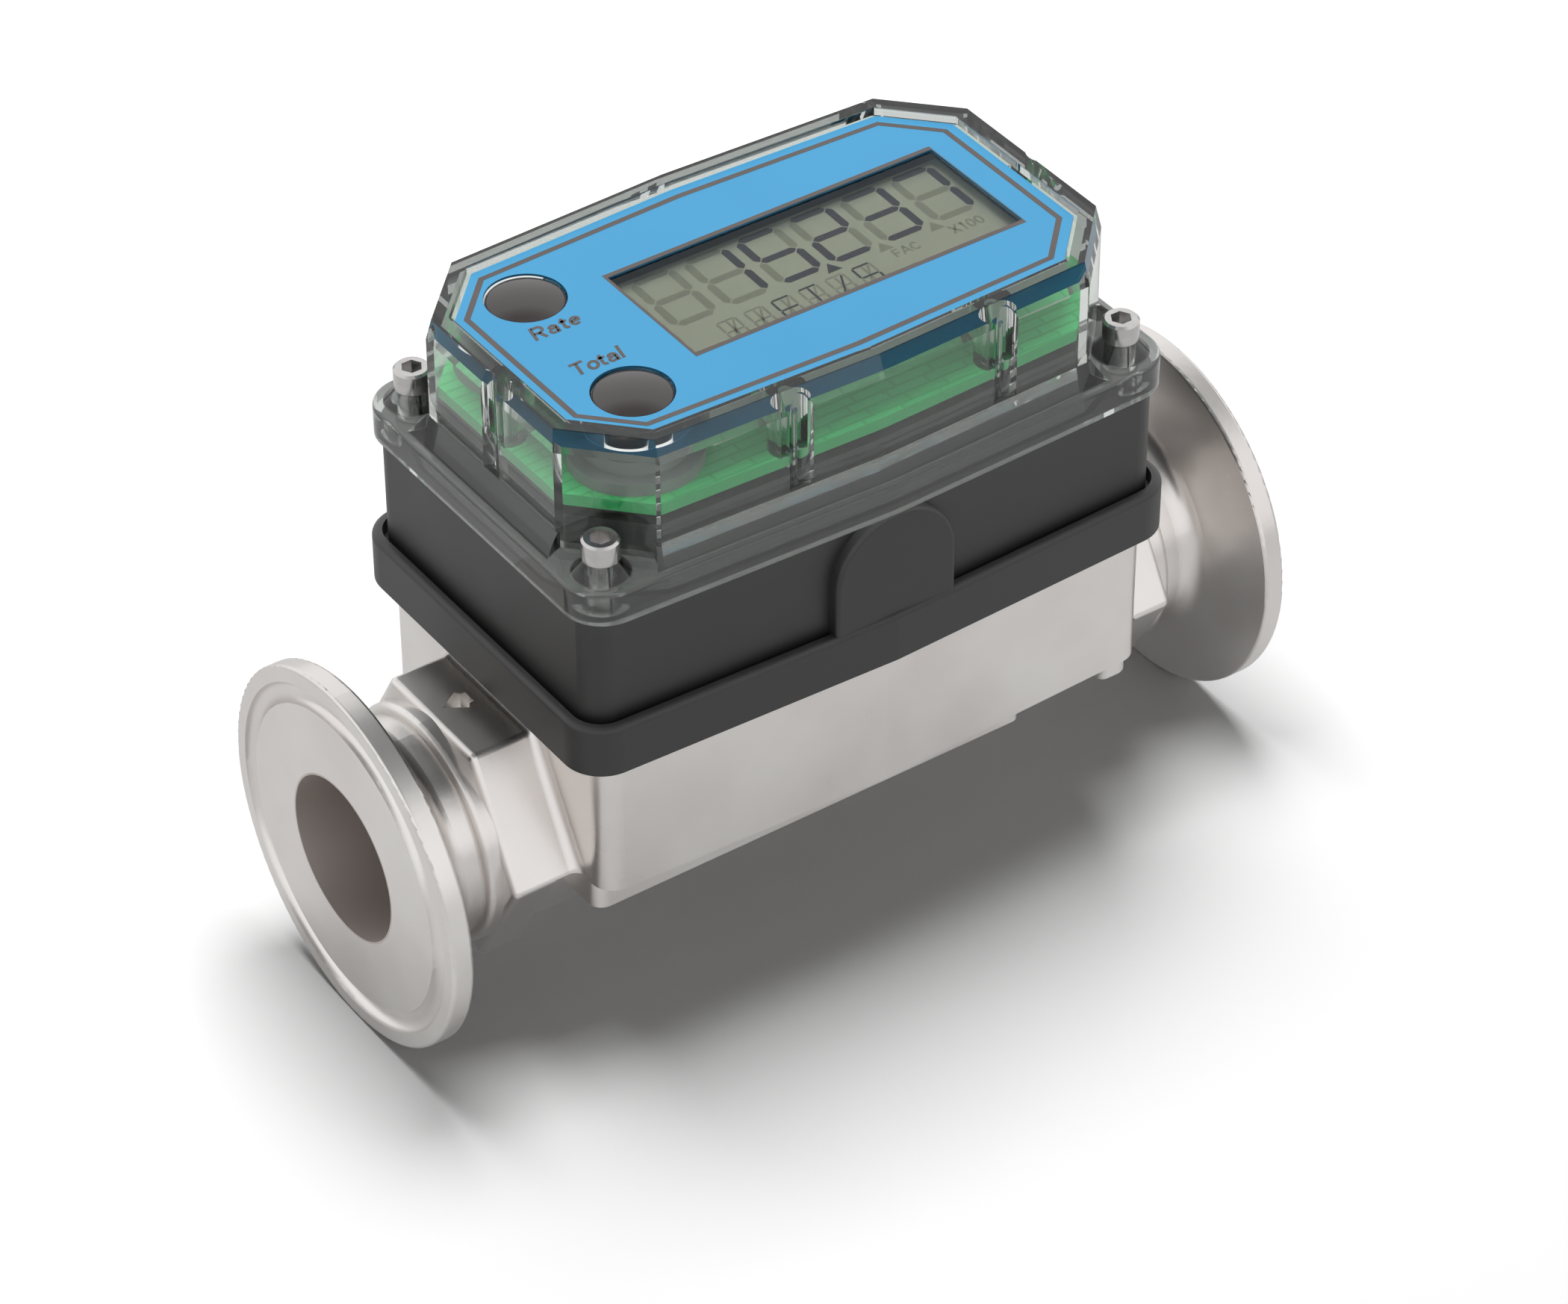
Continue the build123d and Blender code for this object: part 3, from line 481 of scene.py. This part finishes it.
def clear_cover():
    """Clear moulded polycarbonate, polished, and coated against glare over the display, with painted shade
    on the rim's flat top and a painted sheen in the flange.
    """
    finish, tree, shader, place = new_finish("clear_polycarbonate", IOR=1.5, Roughness=0.0)
    along, across, up = add(tree, "ShaderNodeSeparateXYZ", {0: place}).outputs
    over_x = add(tree, "ShaderNodeMath", {0: along, 1: coat_x, 2: coat_half_len}, operation="COMPARE")
    over_y = add(tree, "ShaderNodeMath", {0: across, 1: 0.0, 2: coat_half_w}, operation="COMPARE")
    over = add(tree, "ShaderNodeMath", {
        0: over_x.outputs[0], 1: over_y.outputs[0]}, operation="MULTIPLY").outputs[0]
    high = add(tree, "ShaderNodeMath", {0: up, 1: coat_z}, operation="GREATER_THAN").outputs[0]
    coated = add(tree, "ShaderNodeMath", {0: over, 1: high}, operation="MULTIPLY").outputs[0]
    gloss = add(tree, "ShaderNodeMix", {0: coated, 6: (1, 1, 1, 1), 7: (0, 0, 0, 1)}, data_type="RGBA")
    tree.links.new(gloss.outputs[2], shader.inputs["Specular Tint"])
    # Painted shade: the rim's flat top is tinted a darker grey than the rest of the dome.
    rim_painted_shade = add(tree, "ShaderNodeMath", {0: up, 1: shaded_rim_z}, operation="GREATER_THAN").outputs[0]
    # Painted sheen: below sheen_flange_z the flange gets a pale, partly matt colour that stands in for the
    # reflections in its thick plastic.
    flange_sheen = add(tree, "ShaderNodeMath", {0: up, 1: sheen_flange_z}, operation="LESS_THAN").outputs[0]
    dome_with_rim_shade = add(tree, "ShaderNodeMix", {
        0: rim_painted_shade, 6: colour("#F2F6F3"), 7: colour("#7C817E")}, data_type="RGBA").outputs[2]
    tint_with_shade_and_sheen = add(tree, "ShaderNodeMix", {
        0: flange_sheen, 6: dome_with_rim_shade, 7: colour("#D9DDDA")}, data_type="RGBA").outputs[2]
    tree.links.new(tint_with_shade_and_sheen, shader.inputs["Base Color"])
    clear = add(tree, "ShaderNodeMix", {0: flange_sheen, 2: 1.0, 3: flange_clear}).outputs[0]
    tree.links.new(clear, shader.inputs["Transmission Weight"])
    tree.links.new(relief(tree, grain(tree, place, 8.0), 0.004), shader.inputs["Normal"])
    return finish


dress(clear_cover(), "cover")
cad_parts["cover"].visible_shadow = False

# Label: polyester film printed light blue, stuck in the recess of the cover. A warm grey line
# runs round it and round the window, and the two buttons have their captions beside them.

dome_len, dome_w = 79.9, 48.0
corner_cut = 8.8
side_slope = 0.036
border_side_in, border_end_in = 4.75, 4.42
border_x = -0.2
border_t = 0.8
window_low, window_high = -16.9, 31.1
half_window = 9.35
line_left, line_right, line_across = 0.4, 0.15, 0.7
print_t = 0.02
adhesive_t = 0.1
caption_lean = 0.18
captions = {"Rate": (-31.0, 3.37), "Total": (-31.1, -5.37)}


def cut_corner(side_in, end_in):
    """The cover's outline with its corners cut off, moved in at sides and ends, as points."""
    half_len, half_w = dome_len / 2 - end_in, dome_w / 2 - side_in
    cut = corner_cut - (side_in + end_in) / 2 * (2 - math.sqrt(2))
    side_x = half_len - cut
    side_y = half_w - side_slope * side_x
    end_y = half_w - side_slope * half_len - cut
    right = [(side_x, -side_y), (half_len, -end_y), (half_len, end_y), (side_x, side_y)]
    return [(0, -half_w), *right, (0, half_w), *[(-x, -y) for x, y in right]]


def printed_line(name, points, width, z_low, finish):
    """A line of that width inside the outline, as a thin layer of ink."""
    mesh = bmesh.new()
    face = mesh.faces.new([mesh.verts.new((x * mm, y * mm, z_low * mm)) for x, y in points])
    mesh.normal_update()
    bmesh.ops.inset_individual(mesh, faces=[face], thickness=width * mm)
    bmesh.ops.delete(mesh, geom=[face], context="FACES_ONLY")
    pulled = bmesh.ops.extrude_face_region(mesh, geom=mesh.faces[:])["geom"]
    top = [g for g in pulled if isinstance(g, bmesh.types.BMVert)]
    bmesh.ops.translate(mesh, vec=(0, 0, print_t * mm), verts=top)
    return finished(name, mesh, finish)


label_finish = textured("printed_polyester_film", "#4CAFE6", "#54B5EA", 14.0, (0.36, 0.42), 0.002)
ink_finish = textured("warm_grey_screen_ink", "#635C5A", "#6C6563", 3.0, (0.40, 0.48), 0.002)
dress(label_finish, "label")
label_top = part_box("label")[1].z / mm


def adhesive():
    """The label's glued back: a copy of the label, thinned and sunk a little into the cover."""
    mesh = bmesh.new()
    mesh.from_mesh(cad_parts["label"].data)
    bmesh.ops.remove_doubles(mesh, verts=mesh.verts, dist=mm / 1000)
    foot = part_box("label")[0].z
    bmesh.ops.translate(mesh, vec=(0, 0, -foot), verts=mesh.verts)
    bmesh.ops.scale(mesh, vec=(1, 1, adhesive_t * mm / (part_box("label")[1].z - foot)), verts=mesh.verts)
    bmesh.ops.translate(mesh, vec=(0, 0, foot - adhesive_t * mm / 2), verts=mesh.verts)
    return finished("label_adhesive", mesh, label_finish)


adhesive()


def rectangle(x_low, x_high, y_low, y_high):
    """The four corners of a rectangle."""
    return [(x_low, y_low), (x_high, y_low), (x_high, y_high), (x_low, y_high)]


border = [(x + border_x, y) for x, y in cut_corner(border_side_in, border_end_in)]
printed_line("label_border_line", border, border_t, label_top, ink_finish)
line_low, line_high = window_low - line_left, window_high + line_right
window_bars = [
    rectangle(line_low, line_high, half_window, half_window + line_across),
    rectangle(line_low, line_high, -half_window - line_across, -half_window),
    rectangle(line_low, window_low, -half_window, half_window),
    rectangle(window_high, line_high, -half_window, half_window),
]
flat_piece("label_window_line", window_bars, label_top, print_t, ink_finish)
for words, (x, y) in captions.items():
    printed = lettering(words, x, y, 1.0, caption_lean)
    flat_piece(words.lower() + "_caption", printed, label_top, print_t, ink_finish)

# Buttons: two push buttons moulded in glossy dark plastic, and under each a soft silicone boot,
# frosted and slightly see-through.

button_finish = textured("polished_dark_acrylic", "#453F3F", "#4B4545", 5.0, (0.04, 0.08), 0.001, IOR=1.52)
dress(button_finish, "rate_button", "total_button")


def frosted_silicone():
    """Moulded silicone rubber, milky, with soft light inside it."""
    finish, tree, shader, place = new_finish("frosted_silicone", IOR=1.41, Transmission_Weight=0.35)
    cloud = grain(tree, place, 2.5)
    tree.links.new(between(tree, cloud, colour("#949D97"), colour("#A5AEA8")), shader.inputs["Base Color"])
    tree.links.new(spread(tree, cloud, 0.45, 0.6), shader.inputs["Roughness"])
    return finish


dress(frosted_silicone(), "rate_boot", "total_boot")

# Studio: a pale floor, a white surround that the metal and the cover show too, a large soft lamp
# above and behind the meter, and a weak one in front. Rays that have gone through many faces of
# the cover meet a darker surround, so that its corners don't fill with white.

floor_size = 6.0
floor_near, floor_far = 130.0, 450.0
paper_white = (1.44, 1.44, 1.44, 1)
mirrored_level = 0.09
ceiling_start, ceiling_end = 0.74, 0.86
surround_level, ceiling_level = 1.08, 0.30
sky_end, sky_low, sky_high = 0.6, 0.02, 0.08
trapped_depth, trapped_level = 5.0, 0.06
inside_level = 0.9
lamp_aim = Vector((0, 0, 0.045))
lamps = {
    "key_lamp": ((0.06, 0.22, 1.00), 0.6, 7.6),
    "front_lamp": ((-0.20, -0.95, 0.50), 0.9, 0.65),
}


def mirrored_first(tree, path):
    """One on a ray that a mirror sent and no matt surface before it, and nought on the others."""
    return add(tree, "ShaderNodeMath", {
        0: path.outputs["Is Glossy Ray"], 1: path.outputs["Diffuse Depth"]}, operation="SUBTRACT",
        use_clamp=True).outputs[0]


def pale_floor():
    """Matt white paper, which keeps its white far from the lamps too."""
    finish, tree, shader, place = new_finish("matt_white_paper", Roughness=0.9, Specular_IOR_Level=0.0)
    path = add(tree, "ShaderNodeLightPath")
    in_mirror = mirrored_first(tree, path)
    mirrored = add(tree, "ShaderNodeMix", {
        0: in_mirror, 6: colour("#C8C8C8"), 7: colour("#F2F2F2")}, data_type="RGBA").outputs[2]
    paper = add(tree, "ShaderNodeMix", {
        0: path.outputs["Is Camera Ray"], 6: mirrored, 7: paper_white}, data_type="RGBA")
    tree.links.new(paper.outputs[2], shader.inputs["Base Color"])
    shader.inputs["Emission Color"].default_value = (1, 1, 1, 1)
    away = add(tree, "ShaderNodeVectorMath", {0: place}, operation="LENGTH").outputs["Value"]
    far = add(tree, "ShaderNodeMapRange", {0: away, 1: floor_near, 2: floor_far, 3: 0.0, 4: 1.0}).outputs[0]
    looked_at = add(tree, "ShaderNodeMath", {
        0: far, 1: path.outputs["Is Camera Ray"]}, operation="MULTIPLY").outputs[0]
    level = add(tree, "ShaderNodeMath", {
        0: in_mirror, 1: mirrored_level, 2: looked_at}, operation="MULTIPLY_ADD")
    tree.links.new(level.outputs[0], shader.inputs["Emission Strength"])
    return finish


floor_mesh = bmesh.new()
bmesh.ops.create_grid(floor_mesh, x_segments=1, y_segments=1, size=floor_size / 2)
floor_data = bpy.data.meshes.new("floor")
floor_mesh.to_mesh(floor_data)
floor_mesh.free()
floor_data.materials.append(pale_floor())
floor = bpy.data.objects.new("floor", floor_data)
bpy.context.scene.collection.objects.link(floor)


def surround():
    """White where it is looked at, mirrored or seen through, with a darker ceiling in mirrors."""
    world = bpy.data.worlds.new("studio")
    bpy.context.scene.world = world
    world.use_nodes = True
    tree = world.node_tree
    tree.nodes.clear()
    direction = add(tree, "ShaderNodeTexCoord").outputs["Generated"]
    up = add(tree, "ShaderNodeSeparateXYZ", {0: direction}).outputs["Z"]
    ceiling = add(tree, "ShaderNodeMapRange", {
        0: up, 1: ceiling_start, 2: ceiling_end, 3: surround_level, 4: ceiling_level}).outputs[0]
    seen = add(tree, "ShaderNodeLightPath")
    plain = add(tree, "ShaderNodeMath", {
        0: seen.outputs["Is Camera Ray"], 1: seen.outputs["Is Transmission Ray"]}, operation="MAXIMUM")
    deep = add(tree, "ShaderNodeMath", {
        0: seen.outputs["Ray Depth"], 1: trapped_depth}, operation="GREATER_THAN").outputs[0]
    seen_through = add(tree, "ShaderNodeMix", {0: deep, 2: 1.0, 3: trapped_level}).outputs[0]
    inside = add(tree, "ShaderNodeMath", {
        0: seen.outputs["Diffuse Depth"], 1: 0.5}, operation="GREATER_THAN").outputs[0]
    through = add(tree, "ShaderNodeMix", {0: inside, 2: seen_through, 3: inside_level}).outputs[0]
    sky = add(tree, "ShaderNodeMapRange", {0: up, 1: 0.0, 2: sky_end, 3: sky_low, 4: sky_high}).outputs[0]
    outside = add(tree, "ShaderNodeMix", {0: mirrored_first(tree, seen), 2: sky, 3: ceiling}).outputs[0]
    level = add(tree, "ShaderNodeMix", {0: plain.outputs[0], 2: outside, 3: through}).outputs[0]
    light = add(tree, "ShaderNodeBackground", {"Color": (1, 1, 1, 1), "Strength": level})
    add(tree, "ShaderNodeOutputWorld", {"Surface": light.outputs[0]})


surround()
for name, (place, size, power) in lamps.items():
    light = bpy.data.lights.new(name, "AREA")
    light.shape = "SQUARE"
    light.size = size
    light.energy = power
    lamp = bpy.data.objects.new(name, light)
    aim = lamp_aim - Vector(place)
    lamp.visible_glossy = False
    lamp.matrix_world = Matrix.Translation(place) @ aim.to_track_quat("-Z", "Y").to_matrix().to_4x4()
    bpy.context.scene.collection.objects.link(lamp)

# Camera: the photograph's angle, found by fitting the meter's measured corners to it.

azimuth, elevation, roll = math.radians(-34.956), math.radians(38.847), math.radians(-0.103)
distance_mm = 699.62
aim_mm = Vector((2.226, 0.0, 27.162))
focal_px, frame_px, sensor = 7372.0, 2100.0, 36.0

back = Vector((
    math.sin(azimuth) * math.cos(elevation), -math.cos(azimuth) * math.cos(elevation), math.sin(elevation)))
level_right = Vector((math.cos(azimuth), math.sin(azimuth), 0))
level_up = back.cross(level_right)
right = level_right * math.cos(roll) + level_up * math.sin(roll)
up = level_up * math.cos(roll) - level_right * math.sin(roll)
camera_data = bpy.data.cameras.new("camera")
camera_data.sensor_width = sensor
camera_data.lens = focal_px / frame_px * sensor
camera_data.clip_start, camera_data.clip_end = 0.05, 20.0
camera = bpy.data.objects.new("camera", camera_data)
turn = Matrix((right, up, back)).transposed().to_4x4()
camera.matrix_world = Matrix.Translation((aim_mm + back * distance_mm) * mm) @ turn
bpy.context.scene.collection.objects.link(camera)
bpy.context.scene.camera = camera
bpy.context.scene.view_settings.view_transform = "Standard"
light_paths = bpy.context.scene.cycles
light_paths.max_bounces, light_paths.transmission_bounces, light_paths.glossy_bounces = 24, 24, 16
